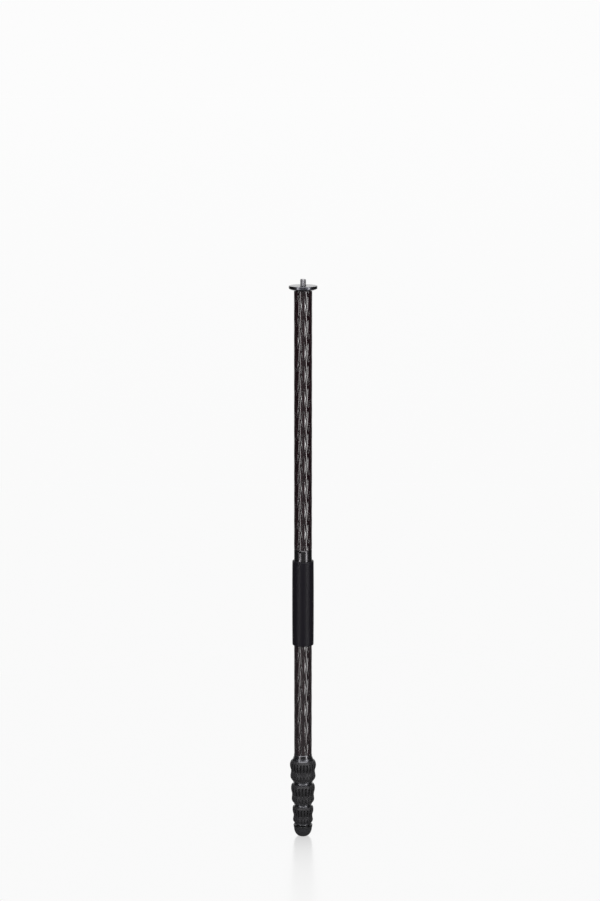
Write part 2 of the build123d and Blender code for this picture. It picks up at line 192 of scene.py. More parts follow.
@dataclass(frozen=True)
class WovenCarbon(Finish):
    """Carbon fibre woven from flat tows and lacquered: near black, with a glint on each tow's crown from the
    lamps that a painted highlight strengthens, and painted shade where each tow dips.

    The tows run two ways, each at a steep angle to the pole, and pass over and under each other.
    """

    # Painted highlight: colour of a tow's crown; its dips fade to the near-black colour.
    painted_crown_highlight: str = "#241218"
    fibre_roughness: float = 0.17
    # Eleven tows go round a 28 mm tube, so each is 8 mm wide, and it shows for 35 mm between crossings.
    tows_round: int = 11
    tow_length: float = 35.4
    tow_crown: float = 0.48
    turned_by: float = 0.12
    # Hand-laid tows wander by up to a sixth of their width over about 50 mm.
    wander: float = 0.35
    wander_length: float = 50.0
    # Filaments of 7 microns are too fine to show, so each tow has 30 lanes, a quarter millimetre wide.
    lanes: float = 30.0
    lane_stretch: float = 0.072
    lane_relief: float = 0.004
    # Painted shade and highlight: how dark a tow is painted in its dips, and how light on its crown.
    shade: tuple[float, float] = (0.35, 1.5)
    resin_ior: float = 1.75
    lacquer: float = 0.12
    lacquer_roughness: float = 0.1

    def surface(self, tree: bpy.types.NodeTree, place: bpy.types.NodeSocket) -> dict[str, Value]:
        """Weave the crossing tows, crown each one, paint its dips darker and its crown lighter, and streak
        it with fibres.

        Args:
            tree: the material's node tree.
            place: Object coordinates.

        Returns:
            The shader's inputs.
        """
        axes = add_node(tree, "SeparateXYZ", {"Vector": place}).outputs
        angle = add_node(tree, "Math", {0: axes["X"], 1: axes["Y"]}, operation="ARCTAN2")
        scale = 1.0 / (self.wander_length * MM)
        drift = add_node(tree, "TexNoise", {"Vector": place, "Scale": scale, "Detail": 1.0})
        shift = {0: drift, 1: self.wander, 2: self.turned_by - self.wander / 2}
        shift = add_node(tree, "Math", shift, operation="MULTIPLY_ADD")
        around = {0: angle, 1: self.tows_round / FULL_TURN, 2: shift}
        around = add_node(tree, "Math", around, operation="MULTIPLY_ADD")
        upward = add_node(tree, "Math", {0: axes["Z"], 1: self.tow_length * MM}, operation="DIVIDE")
        rising = add_node(tree, "Math", {0: around, 1: upward}, operation="ADD")
        falling = add_node(tree, "Math", {0: around, 1: upward}, operation="SUBTRACT")
        cells = [add_node(tree, "Math", {0: count}, operation="FLOOR") for count in (rising, falling)]
        cell = add_node(tree, "Math", {0: cells[0], 1: cells[1]}, operation="ADD")
        falling_on_top = add_node(tree, "Math", {0: cell, 1: 1.0}, operation="PINGPONG")
        rising_crown, rising_fibres = self.tow(tree, rising, falling)
        falling_crown, falling_fibres = self.tow(tree, falling, rising)
        crown = add_node(tree, "Mix", {0: falling_on_top, 2: rising_crown, 3: falling_crown})
        fibres = add_node(tree, "Mix", {0: falling_on_top, 2: rising_fibres, 3: falling_fibres})
        height = add_node(tree, "Math", {0: fibres, 1: self.lane_relief, 2: crown}, operation="MULTIPLY_ADD")
        # Painted shade and highlight: a tow's colour darkens where it dips under the next and lightens on
        # its crown.
        depth = add_node(tree, "Mix", {0: crown, 2: self.shade[0], 3: self.shade[1]})
        tone = add_node(tree, "Math", {0: fibres, 1: depth}, operation="MULTIPLY")
        colours = {0: tone, 6: linear(self.colour), 7: linear(self.painted_crown_highlight)}
        return {
            "Base Color": add_node(tree, "Mix", colours, data_type="RGBA"),
            "Roughness": add_node(tree, "Mix", {0: fibres, 2: self.roughness, 3: self.fibre_roughness}),
            "Normal": add_node(tree, "Bump", {"Height": height, "Distance": self.tow_crown * MM}),
            "IOR": self.resin_ior,
            "Coat Weight": self.lacquer,
            "Coat Roughness": self.lacquer_roughness,
        }

    def tow(
        self, tree: bpy.types.NodeTree, across: bpy.types.Node, along: bpy.types.Node
    ) -> tuple[bpy.types.Node, bpy.types.Node]:
        """Lay the tows of one direction.

        Args:
            tree: the material's node tree.
            across: count of tows, which rises by 1 from one to the next.
            along: count of crossings along a tow.

        Returns:
            Height, which is 1 on a tow's crown and 0 where it dips under the next, and its fibres.
        """
        arches = []
        for count in (across, along):
            share = add_node(tree, "Math", {0: count}, operation="FRACT")
            half_turn = add_node(tree, "Math", {0: share, 1: math.pi}, operation="MULTIPLY")
            arches.append(add_node(tree, "Math", {0: half_turn}, operation="SINE"))
        dip = add_node(tree, "Math", {0: arches[1]}, operation="SQRT")
        height = add_node(tree, "Math", {0: arches[0], 1: dip}, operation="MULTIPLY")
        lane = add_node(tree, "CombineXYZ", {"X": across, "Y": along})
        lane = add_node(tree, "Mapping", {"Vector": lane, "Scale": (1.0, self.lane_stretch, 1.0)})
        return height, add_node(tree, "TexNoise", {"Vector": lane, "Scale": self.lanes, "Detail": 1.0})


@dataclass(frozen=True)
class AnodisedAluminium(Finish):
    """Aluminium turned, polished and anodised black: a dark glassy oxide over metal."""

    wear: str = "#303034"
    # Feed of the finishing cut, and how deep it leaves its rings.
    ring_pitch: float = 0.25
    ring_depth: float = 0.0015
    # Handling clouds the oxide in patches of about 6 mm.
    cloud: float = 6.0
    clouding: tuple[float, float] = (-0.04, 0.06)
    oxide: float = 0.8
    oxide_ior: float = 1.6
    oxide_gloss: float = 0.7

    def surface(self, tree: bpy.types.NodeTree, place: bpy.types.NodeSocket) -> dict[str, Value]:
        """Cut faint turning rings, and vary the oxide's tone and gloss a little.

        Args:
            tree: the material's node tree.
            place: Object coordinates.

        Returns:
            The shader's inputs.
        """
        axes = add_node(tree, "SeparateXYZ", {"Vector": place}).outputs
        level = add_node(tree, "VectorMath", {0: place, 1: (1.0, 1.0, 0.0)}, operation="MULTIPLY")
        radius = add_node(tree, "VectorMath", {0: level}, operation="LENGTH")
        travel = add_node(tree, "Math", {0: radius, 1: axes["Z"]}, operation="ADD")
        travel = {0: travel, 1: FULL_TURN / (self.ring_pitch * MM)}
        travel = add_node(tree, "Math", travel, operation="MULTIPLY")
        rings = add_node(tree, "Math", {0: travel}, operation="SINE")
        cloud = add_node(tree, "TexNoise", {"Vector": place, "Scale": 1.0 / (self.cloud * MM)})
        tones = {0: cloud, 6: linear(self.colour), 7: linear(self.wear)}
        low, high = (self.roughness + change for change in self.clouding)
        return {
            "Base Color": add_node(tree, "Mix", tones, data_type="RGBA"),
            "Roughness": add_node(tree, "Mix", {0: cloud, 2: low, 3: high}),
            "Normal": add_node(tree, "Bump", {"Height": rings, "Distance": self.ring_depth * MM}),
            "Metallic": 1.0,
            "Coat Weight": self.oxide,
            "Coat Roughness": self.roughness * self.oxide_gloss,
            "Coat IOR": self.oxide_ior,
        }


@dataclass(frozen=True)
class TurnedMetal(Finish):
    """Bare metal off the lathe: bright, with grey where oil and dirt stay."""

    root: str = "#5d5c5e"
    # Oil and fingers cloud it in patches of 1.6 mm; the cutter leaves a grain of 0.3 mm.
    cloud: float = 1.6
    clouding: tuple[float, float] = (0.1, -0.06)
    grain: float = 0.3
    grain_depth: float = 0.01

    def surface(self, tree: bpy.types.NodeTree, place: bpy.types.NodeSocket) -> dict[str, Value]:
        """Cloud the tone and gloss, and roughen the cut a little.

        Args:
            tree: the material's node tree.
            place: Object coordinates.

        Returns:
            The shader's inputs.
        """
        cloud = {"Vector": place, "Scale": 1.0 / (self.cloud * MM), "Detail": 4.0}
        cloud = add_node(tree, "TexNoise", cloud)
        grain = add_node(tree, "TexNoise", {"Vector": place, "Scale": 1.0 / (self.grain * MM)})
        relief = {"Height": grain, "Distance": self.grain_depth * MM, "Strength": 0.5}
        tones = {0: cloud, 6: linear(self.root), 7: linear(self.colour)}
        low, high = (self.roughness + change for change in self.clouding)
        return {
            "Base Color": add_node(tree, "Mix", tones, data_type="RGBA"),
            "Roughness": add_node(tree, "Mix", {0: cloud, 2: low, 3: high}),
            "Normal": add_node(tree, "Bump", relief),
            "Metallic": 1.0,
        }


@dataclass(frozen=True)
class MouldedRubber(Finish):
    """Black rubber from a grained mould: no gloss, a soft bloom and a fine even grit."""

    bloom: str = "#35343a"
    # Grit of the mould, and the patches in which bloom comes up on old rubber.
    grit: float = 0.35
    grit_depth: float = 0.03
    patch: float = 9.0
    patch_share: float = 0.6
    gritting: tuple[float, float] = (-0.05, 0.07)
    sheen: float = 0.08
    gloss: float = 0.35
    # Painted shade: the near-black that the beds of pressed slots are painted, and how much of it they take.
    painted_slot_shadow: str = "#050506"
    slot_shade: float = 0.65

    def surface(self, tree: bpy.types.NodeTree, place: bpy.types.NodeSocket) -> dict[str, Value]:
        """Grit the surface, let broad patches of bloom lift its tone, and paint shade into pressed slots.

        Args:
            tree: the material's node tree.
            place: Object coordinates.

        Returns:
            The shader's inputs.
        """
        grit = add_node(tree, "TexNoise", {"Vector": place, "Scale": 1.0 / (self.grit * MM), "Detail": 3.0})
        patch = {"Vector": place, "Scale": 1.0 / (self.patch * MM), "Detail": 4.0}
        patch = add_node(tree, "TexNoise", patch)
        bloomed = add_node(tree, "Mix", {0: self.patch_share, 2: grit, 3: patch})
        tones = {0: bloomed, 6: linear(self.colour), 7: linear(self.bloom)}
        touched = add_node(tree, "Mix", tones, data_type="RGBA")
        # Painted shade: each pressed slot's bed is painted towards near-black by how far it is sunk.
        sunk = add_node(tree, "Attribute", attribute_name="sunk").outputs["Fac"]
        sunk = add_node(tree, "Math", {0: sunk, 1: self.slot_shade}, operation="MULTIPLY")
        low, high = (self.roughness + change for change in self.gritting)
        black = {0: sunk, 6: touched, 7: linear(self.painted_slot_shadow)}
        return {
            "Base Color": add_node(tree, "Mix", black, data_type="RGBA"),
            "Roughness": add_node(tree, "Mix", {0: grit, 2: low, 3: high}),
            "Normal": add_node(tree, "Bump", {"Height": grit, "Distance": self.grit_depth * MM}),
            "Specular IOR Level": self.gloss,
            "Sheen Weight": self.sheen,
            "Sheen Roughness": 0.5,
        }


@dataclass(frozen=True)
class MouldedPlastic(Finish):
    """Acetal or nylon straight from the mould: a waxy surface with slight sink marks."""

    mark: str = "#2b2b2c"
    # Sink marks are a few millimetres apart and a few hundredths deep.
    ripple: float = 2.5
    ripple_depth: float = 0.03

    def surface(self, tree: bpy.types.NodeTree, place: bpy.types.NodeSocket) -> dict[str, Value]:
        """Ripple the surface and its tone.

        Args:
            tree: the material's node tree.
            place: Object coordinates.

        Returns:
            The shader's inputs.
        """
        ripple = add_node(tree, "TexNoise", {"Vector": place, "Scale": 1.0 / (self.ripple * MM)})
        tones = {0: ripple, 6: linear(self.colour), 7: linear(self.mark)}
        relief = {"Height": ripple, "Distance": self.ripple_depth * MM, "Strength": 0.6}
        return {
            "Base Color": add_node(tree, "Mix", tones, data_type="RGBA"),
            "Roughness": self.roughness,
            "Normal": add_node(tree, "Bump", relief),
        }


@dataclass(frozen=True)
class PressedFelt(Finish):
    """Grey wool felt, pressed into a ring: matt, with fibres lying every way."""

    fluff: str = "#4a4a4c"
    # Wool fibres of 0.03 mm are too fine to show, so the tangle is drawn at half a millimetre.
    fibre: float = 0.5
    fibre_depth: float = 0.12

    def surface(self, tree: bpy.types.NodeTree, place: bpy.types.NodeSocket) -> dict[str, Value]:
        """Tangle fibres over it.

        Args:
            tree: the material's node tree.
            place: Object coordinates.

        Returns:
            The shader's inputs.
        """
        fibres = {"Vector": place, "Scale": 1.0 / (self.fibre * MM), "Detail": 6.0}
        fibres = add_node(tree, "TexNoise", fibres)
        tones = {0: fibres, 6: linear(self.colour), 7: linear(self.fluff)}
        return {
            "Base Color": add_node(tree, "Mix", tones, data_type="RGBA"),
            "Roughness": self.roughness,
            "Normal": add_node(tree, "Bump", {"Height": fibres, "Distance": self.fibre_depth * MM}),
            "Sheen Weight": 0.4,
        }


# Lacquer over black fibre: brown-black painted shade where tows dip, a painted highlight on their crowns,
# and grey streaks from the lamps that follow the weave.
CARBON = WovenCarbon("lacquered_woven_carbon", "#030102", 0.1)
# Polished before anodising: the collar and ferrules mirror the lamps as two clear bands.
COLLAR_BLACK = AnodisedAluminium("polished_black_anodised_collar", "#2e2c2f", 0.3, wear="#3b393c")
# The platform keeps deeper rings from facing, which spread the light to grey.
PLATFORM_BLACK = AnodisedAluminium(
    "turned_black_anodised_platform", "#404046", 0.3, wear="#4a4a52", ring_depth=0.004
)
# Lock rings lose some oxide to hands, so they are greyer.
RING_BLACK = AnodisedAluminium("polished_black_anodised_lock_ring", "#444448", 0.34, wear="#525257")
# Shot before anodising: the foot's plate stays black and hardly shines.
PLATE_BLACK = AnodisedAluminium("black_anodised_foot_plate", "#0b0b0d", 0.5, wear="#121214")
# Bare aluminium inside the tubes: pale and satin.
BARE_ALUMINIUM = TurnedMetal("turned_bare_aluminium", "#b9babd", 0.35, root="#8f9094")
# Steel stud: bright crests and grey thread roots.
STUD_STEEL = TurnedMetal("turned_steel_thread", "#b0afb2", 0.32, root="#7a797c")
# The ferrule's edge is cut after anodising, which leaves a thin bright line.
BRIGHT_EDGE = TurnedMetal("bright_cut_aluminium_edge", "#8c8c90", 0.3, root="#7a7a7e")
# Black oxide on steel: dark, with a dull shine.
SCREW_BLACK = TurnedMetal("black_oxide_steel_screw", "#1b1b1c", 0.38, root="#101011")
# Close-grained blue-black rubber with two faint broad bands of light.
GRIP_RUBBER = MouldedRubber(
    "smooth_soft_grip_rubber",
    "#09070d",
    0.44,
    bloom="#0f0c14",
    grit=0.3,
    grit_depth=0.015,
    sheen=0.02,
    gloss=0.18,
)
# Hard ribbed rubber: dark grey where hands polish it, and painted shade makes its slots black.
LOCK_RUBBER = MouldedRubber("fluted_lock_rubber", "#19181a", 0.5, bloom="#272629")
# Dense rubber that has met the ground: matt and a little grey.
FOOT_RUBBER = MouldedRubber("dense_foot_rubber", "#1a1a1d", 0.66, bloom="#29292d", grit=0.45)
# Nylon washer: black and slightly waxy.
WASHER_NYLON = MouldedPlastic("black_nylon_washer", "#141414", 0.45)
# Acetal collets: black, waxy, a little smoother.
COLLET_ACETAL = MouldedPlastic("black_acetal_collet", "#18181a", 0.4)
# Acetal shims in its natural colour: milky white.
SHIM_ACETAL = MouldedPlastic("white_acetal_shims", "#c9c8c2", 0.42, mark="#d8d7d2")
# Wool felt seals: dark grey and matt.
SEAL_FELT = PressedFelt("pressed_wool_felt", "#343436", 0.95)


def turned(outline: Sequence[Corner], segments: int = 144, ring: bool = True) -> bmesh.types.BMesh:
    """Turn an outline about the pole's axis, as on a lathe.

    Args:
        outline: corners in order; each is rounded before the turn.
        segments: steps of the full turn.
        ring: True where the outline closes on itself, False where both ends lie on the axis.

    Returns:
        A closed mesh in metres.
    """
    mesh = bmesh.new()
    points = [mesh.verts.new((c.radius * MM, 0.0, c.height * MM)) for c in outline]
    for first, second in zip(points, points[1:]):
        mesh.edges.new((first, second))
    if ring:
        mesh.edges.new((points[-1], points[0]))
    for rounding in Rounding:
        chosen = [p for p, c in zip(points, outline) if c.rounding is rounding]
        if rounding is Rounding.SHARP or not chosen:
            continue
        bmesh.ops.bevel(
            mesh,
            geom=chosen,
            offset=rounding.value * MM,
            offset_type="OFFSET",
            segments=3,
            profile=0.5,
            affect="VERTICES",
            clamp_overlap=True,
            material=-1,
        )
    spin_about_pole(mesh, segments)
    return mesh


def spin_about_pole(mesh: bmesh.types.BMesh, segments: int) -> None:
    """Spin a wire outline through a full turn, close its seam and poles and face it outwards.

    Args:
        mesh: wire outline in the plane of X and Z; it becomes the solid.
        segments: steps of the full turn.
    """
    bmesh.ops.spin(
        mesh,
        geom=mesh.verts[:] + mesh.edges[:],
        cent=(0.0, 0.0, 0.0),
        axis=(0.0, 0.0, 1.0),
        dvec=(0.0, 0.0, 0.0),
        angle=FULL_TURN,
        steps=segments,
        use_merge=True,
        use_duplicate=False,
    )
    bmesh.ops.remove_doubles(mesh, verts=mesh.verts, dist=1e-7)
    bmesh.ops.recalc_face_normals(mesh, faces=mesh.faces)


def threaded_rod(bottom: float, top: float, chamfer: float = 0.9, steps: int = 40) -> bmesh.types.BMesh:
    """Cut the camera thread: one pitch of its section is swept up a helix and trimmed at both ends.

    Args:
        bottom: lower end in millimetres.
        top: upper end in millimetres.
        chamfer: how far the upper end is chamfered, in millimetres.
        steps: steps of one turn.

    Returns:
        A closed mesh in metres.
    """
    pitch, crest = STUD_PITCH, STUD_RADIUS
    root = crest - THREAD_DEPTH * pitch
    rise = pitch / 4 + THREAD_DEPTH * pitch * math.tan(HALF_FLANK)
    section = ((root, 0.0), (root, pitch / 4), (crest, rise), (crest, rise + pitch / 8), (root, pitch))
    mesh = bmesh.new()
    spare_turns = 3
    start = bottom - spare_turns / 2 * pitch
    points = [mesh.verts.new((r * MM, 0.0, (start + z) * MM)) for r, z in section]
    for first, second in zip(points, points[1:]):
        mesh.edges.new((first, second))
    turns = math.ceil((top - bottom) / pitch) + spare_turns
    bmesh.ops.spin(
        mesh,
        geom=mesh.verts[:] + mesh.edges[:],
        cent=(0.0, 0.0, 0.0),
        axis=(0.0, 0.0, 1.0),
        dvec=(0.0, 0.0, pitch * MM / steps),
        angle=FULL_TURN * turns,
        steps=steps * turns,
        use_merge=False,
        use_duplicate=False,
    )
    bmesh.ops.remove_doubles(mesh, verts=mesh.verts, dist=1e-6)
    for level, side in ((bottom, -1.0), (top, 1.0)):
        bmesh.ops.bisect_plane(
            mesh,
            geom=mesh.verts[:] + mesh.edges[:] + mesh.faces[:],
            plane_co=(0.0, 0.0, level * MM),
            plane_no=(0.0, 0.0, side),
            clear_outer=True,
        )
    bmesh.ops.holes_fill(mesh, edges=[e for e in mesh.edges if e.is_boundary], sides=0)
    for vert in mesh.verts:
        reach = math.hypot(vert.co.x, vert.co.y)
        limit = (crest - chamfer) * MM + (top * MM - vert.co.z)
        if reach > limit:
            vert.co.x *= limit / reach
            vert.co.y *= limit / reach
    bmesh.ops.recalc_face_normals(mesh, faces=mesh.faces)
    return mesh


def upright_prism(sides: int, radius: float, height: float, place: Matrix) -> bmesh.types.BMesh:
    """Make a closed prism or rod that stands on a frame's origin along its Z axis.

    Args:
        sides: number of sides.
        radius: radius over the corners in millimetres.
        height: height in millimetres.
        place: the frame, in metres.

    Returns:
        A closed mesh in metres.
    """
    mesh = bmesh.new()
    bmesh.ops.create_cone(
        mesh,
        cap_ends=True,
        segments=sides,
        radius1=radius * MM,
        radius2=radius * MM,
        depth=height * MM,
        matrix=place @ Matrix.Translation((0.0, 0.0, height * MM / 2)),
    )
    return mesh


def carved(body: bmesh.types.BMesh, cutter: bmesh.types.BMesh) -> bmesh.types.BMesh:
    """Cut one closed mesh out of another.

    Args:
        body: mesh that is cut; it is used up.
        cutter: mesh that is taken away; it is used up.

    Returns:
        The mesh that is left.
    """
    blanks = []
    for name, mesh in (("blank", body), ("cutter", cutter)):
        data = bpy.data.meshes.new(name)
        mesh.to_mesh(data)
        mesh.free()
        blank = bpy.data.objects.new(name, data)
        bpy.context.scene.collection.objects.link(blank)
        blanks.append(blank)
    cut = blanks[0].modifiers.new("cut", "BOOLEAN")
    cut.operation = "DIFFERENCE"
    cut.solver = "EXACT"
    cut.object = blanks[1]
    bpy.context.view_layer.update()
    graph = bpy.context.evaluated_depsgraph_get()
    result = bmesh.new()
    result.from_mesh(bpy.data.meshes.new_from_object(blanks[0].evaluated_get(graph)))
    for blank in blanks:
        bpy.data.objects.remove(blank)
    return result


@dataclass(frozen=True)
class Berth:
    """Where a finished piece belongs: the body that it rides on, its slot and the node it stands for."""

    body: str
    slot: Slot
    node: str


def finished(name: str, mesh: bmesh.types.BMesh, finish: Finish, berth: Berth) -> None:
    """Make a mesh a piece of the pole.

    Args:
        name: piece's name.
        mesh: closed mesh in metres, already in its place; it is used up.
        finish: surface that it gets.
        berth: body and replaced node; its slot is not used.
    """
    data = bpy.data.meshes.new(name)
    for face in mesh.faces:
        face.smooth = True
    mesh.to_mesh(data)
    mesh.free()
    data.materials.append(finish.material())
    piece = bpy.data.objects.new(name, data)
    bpy.context.scene.collection.objects.link(piece)
    even = piece.modifiers.new("even_shading", "WEIGHTED_NORMAL")
    even.mode = "FACE_AREA"
    even.weight = 50
    even.keep_sharp = True
    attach(piece, berth.body)
    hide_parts(berth.node)
    LOG.info("%s: %d faces of %s, rides on %s", name, len(data.polygons), finish.name, berth.body)


@dataclass(frozen=True)
class Span:
    """Radius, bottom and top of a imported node, in millimetres."""

    radius: float
    bottom: float
    top: float

    @classmethod
    def of(cls, node: str) -> Span:
        """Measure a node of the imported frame."""
        low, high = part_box(node)
        return cls(high.x / MM, low.z / MM, high.z / MM)


@dataclass(frozen=True)
class Tube:
    """A carbon tube of the column or the leg."""

    name: str
    body: str
    wall: float

    def build(self) -> None:
        """Turn the tube from its node's span, its cut ends lightly broken."""
        span = Span.of(self.name)
        bore = span.radius - self.wall
        edge = Rounding.HONED
        outline = (
            Corner(bore, span.bottom, edge),
            Corner(span.radius, span.bottom, edge),
            Corner(span.radius, span.top, edge),
            Corner(bore, span.top, edge),
        )
        finished(f"{self.name}_skin", turned(outline), CARBON, Berth(self.body, Slot.CARBON, self.name))


@dataclass(frozen=True)
class Column:
    """Centre column: camera stud, platform, tube and the washer under it."""

    body: str = "column"
    tube_wall: float = 1.5
    shank_radius: float = 4.2
    stud_lap: float = 1.2
    slot_width: float = 1.4
    slot_depth: float = 1.6
    countersink: float = 0.5
    rim_chamfer: float = 0.5
    rim_height: float = 5.1
    cone_radius: float = 14.8
    cone_height: float = 2.5
    spigot_radius: float = 12.45
    washer_bore: float = 6.0

    def build(self) -> None:
        """Build the column's pieces from the top down."""
        self.camera_stud()
        self.platform()
        Tube("column_tube", self.body, self.tube_wall).build()
        self.washer()

    def camera_stud(self) -> None:
        """Cut the threaded stud, with a screwdriver slot across its end."""
        top = Span.of("camera_stud").top
        rod = threaded_rod(Span.of("top_platform").top - self.stud_lap, top)
        size = Vector((4 * STUD_RADIUS, self.slot_width, 2 * self.slot_depth)) * MM
        place = Matrix.Translation((0.0, 0.0, top * MM)) @ Matrix.Diagonal(size.to_4d())
        cutter = bmesh.new()
        bmesh.ops.create_cube(cutter, size=1.0, matrix=place)
        berth = Berth(self.body, Slot.STUD, "camera_stud")
        finished("camera_stud_thread", carved(rod, cutter), STUD_STEEL, berth)

    def platform(self) -> None:
        """Turn the disc: a broken upper rim, a chamfered lower one and a cone that runs in to the tube."""
        span = Span.of("top_platform")
        rim, top = span.radius, span.top
        rim_bottom = top - self.rim_height
        tube_top = rim_bottom - self.cone_height
        hole = self.shank_radius + FIT
        mouth = STUD_RADIUS + self.countersink
        outline = (
            Corner(hole, top - (mouth - hole)),
            Corner(mouth, top, Rounding.HONED),
            Corner(rim - self.rim_chamfer, top, Rounding.HONED),
            Corner(rim, top - self.rim_chamfer, Rounding.HONED),
            Corner(rim, rim_bottom + 2 * self.rim_chamfer, Rounding.HONED),
            Corner(rim - 2 * self.rim_chamfer, rim_bottom, Rounding.BROKEN),
            Corner(self.cone_radius, tube_top, Rounding.HONED),
            Corner(self.spigot_radius, tube_top),
            Corner(self.spigot_radius, span.bottom, Rounding.BROKEN),
            Corner(hole, span.bottom),
        )
        berth = Berth(self.body, Slot.PLATFORM, "top_platform")
        finished("platform_disc", turned(outline, 192), PLATFORM_BLACK, berth)

    def washer(self) -> None:
        """Turn the thin washer at the seam, which stays with neither half."""
        span = Span.of("joint_washer")
        edge = Rounding.HONED
        outline = (
            Corner(self.washer_bore, span.bottom, edge),
            Corner(span.radius, span.bottom, edge),
            Corner(span.radius, span.top, edge),
            Corner(self.washer_bore, span.top, edge),
        )
        berth = Berth("seam_washer", Slot.WASHER, "joint_washer")
        finished("seam_washer_ring", turned(outline, 128), WASHER_NYLON, berth)


@dataclass(frozen=True)
class LegHead:
    """Head of the leg: collar, joint stud, set screw and hand grip."""

    body: str = "section_1"
    spigot_radius: float = 12.85
    collar_edge: float = 0.5
    collar_edge_height: float = 1.1
    collar_flange: float = 20.8
    collar_bore: float = 8.5
    screw_radius: float = 1.5
    screw_play: float = 0.1
    screw_hole_depth: float = 12.0
    screw_hole_lap: float = 1.0
    screw_drop: float = 2.3
    screw_angle: float = -108.0
    screw_recess: float = 0.4
    socket_width: float = 1.5
    socket_depth: float = 1.5
    grip_bore: float = 14.05
    grip_crown: float = 0.25
    grip_swell_share: float = 0.75
    grip_end_draft: float = 0.15
    grip_end_length: float = 4.0

    def build(self) -> None:
        """Build the collar and what it holds, then the grip."""
        self.collar()
        self.joint_stud()
        self.set_screw()
        self.grip()

    def screw_place(self, reach: float) -> Matrix:
        """Find a point on the set screw's axis.

        Args:
            reach: distance from the pole's axis in millimetres.

        Returns:
            Frame there, in metres, whose Z points outwards.
        """
        height = Span.of("leg_top_collar").top - self.screw_drop
        turn = Matrix.Rotation(math.radians(self.screw_angle), 4, "Z")
        lean = Matrix.Rotation(math.radians(90.0), 4, "Y")
        lift = Matrix.Translation((0.0, 0.0, height * MM))
        return lift @ turn @ Matrix.Translation((reach * MM, 0.0, 0.0)) @ lean

    def collar(self) -> None:
        """Turn the polished collar, with a chamfered top edge, and drill the set screw's hole."""
        span = Span.of("leg_top_collar")
        stud = Span.of("joint_stud")
        hole = stud.radius + FIT
        flange = span.top - self.collar_flange
        outline = (
            Corner(hole, span.top, Rounding.HONED),
            Corner(span.radius - self.collar_edge, span.top, Rounding.HONED),
            Corner(span.radius, span.top - self.collar_edge_height, Rounding.HONED),
            Corner(span.radius, flange, Rounding.HONED),
            Corner(self.spigot_radius, flange),
            Corner(self.spigot_radius, span.bottom, Rounding.BROKEN),
            Corner(self.collar_bore, span.bottom, Rounding.HONED),
            Corner(self.collar_bore, stud.bottom),
            Corner(hole, stud.bottom),
        )
        place = self.screw_place(stud.radius - self.screw_hole_lap)
        drill = upright_prism(48, self.screw_radius + self.screw_play, self.screw_hole_depth, place)
        berth = Berth(self.body, Slot.COLLAR, "leg_top_collar")
        finished("leg_collar", carved(turned(outline, 192), drill), COLLAR_BLACK, berth)

    def joint_stud(self) -> None:
        """Cut the threaded stud that the column screws onto."""
        span = Span.of("joint_stud")
        berth = Berth(self.body, Slot.STUD, "joint_stud")
        finished("joint_stud_thread", threaded_rod(span.bottom, span.top), STUD_STEEL, berth)

    def set_screw(self) -> None:
        """Make the set screw with a hexagon socket, a little below the collar's surface."""
        inner = Span.of("joint_stud").radius + FIT
        outer = Span.of("leg_top_collar").radius - self.screw_recess
        body = upright_prism(48, self.screw_radius, outer - inner, self.screw_place(inner))
        corner = self.socket_width / math.sqrt(3.0)
        depth = self.socket_depth
        socket = upright_prism(6, corner, 2 * depth, self.screw_place(outer - depth))
        berth = Berth(self.body, Slot.SCREW, "collar_set_screw")
        finished("collar_screw", carved(body, socket), SCREW_BLACK, berth)

    def grip(self) -> None:
        """Turn the soft sleeve, a hair wider in its middle, with rounded ends."""
        span = Span.of("grip_sleeve")
        end = span.radius - self.grip_crown
        swell = end + self.grip_swell_share * self.grip_crown
        middle = (span.bottom + span.top) / 2
        quarter = (span.top - span.bottom) / 4
        outline = (
            Corner(self.grip_bore, span.bottom, Rounding.HONED),
            Corner(end - self.grip_end_draft, span.bottom, Rounding.MOULDED),
            Corner(end, span.bottom + self.grip_end_length, Rounding.SOFT),
            Corner(swell, middle - quarter, Rounding.MOULDED),
            Corner(span.radius, middle, Rounding.MOULDED),
            Corner(swell, middle + quarter, Rounding.MOULDED),
            Corner(end, span.top - self.grip_end_length, Rounding.SOFT),
            Corner(end - self.grip_end_draft, span.top, Rounding.MOULDED),
            Corner(self.grip_bore, span.top, Rounding.HONED),
        )
        berth = Berth(self.body, Slot.GRIP, "grip_sleeve")
        finished("hand_grip", turned(outline), GRIP_RUBBER, berth)


@dataclass(frozen=True)
class Swell:
    """Where a lock's rubber is widest or narrowest: its radius, and its depth below the nut's top."""

    radius: float
    drop: float


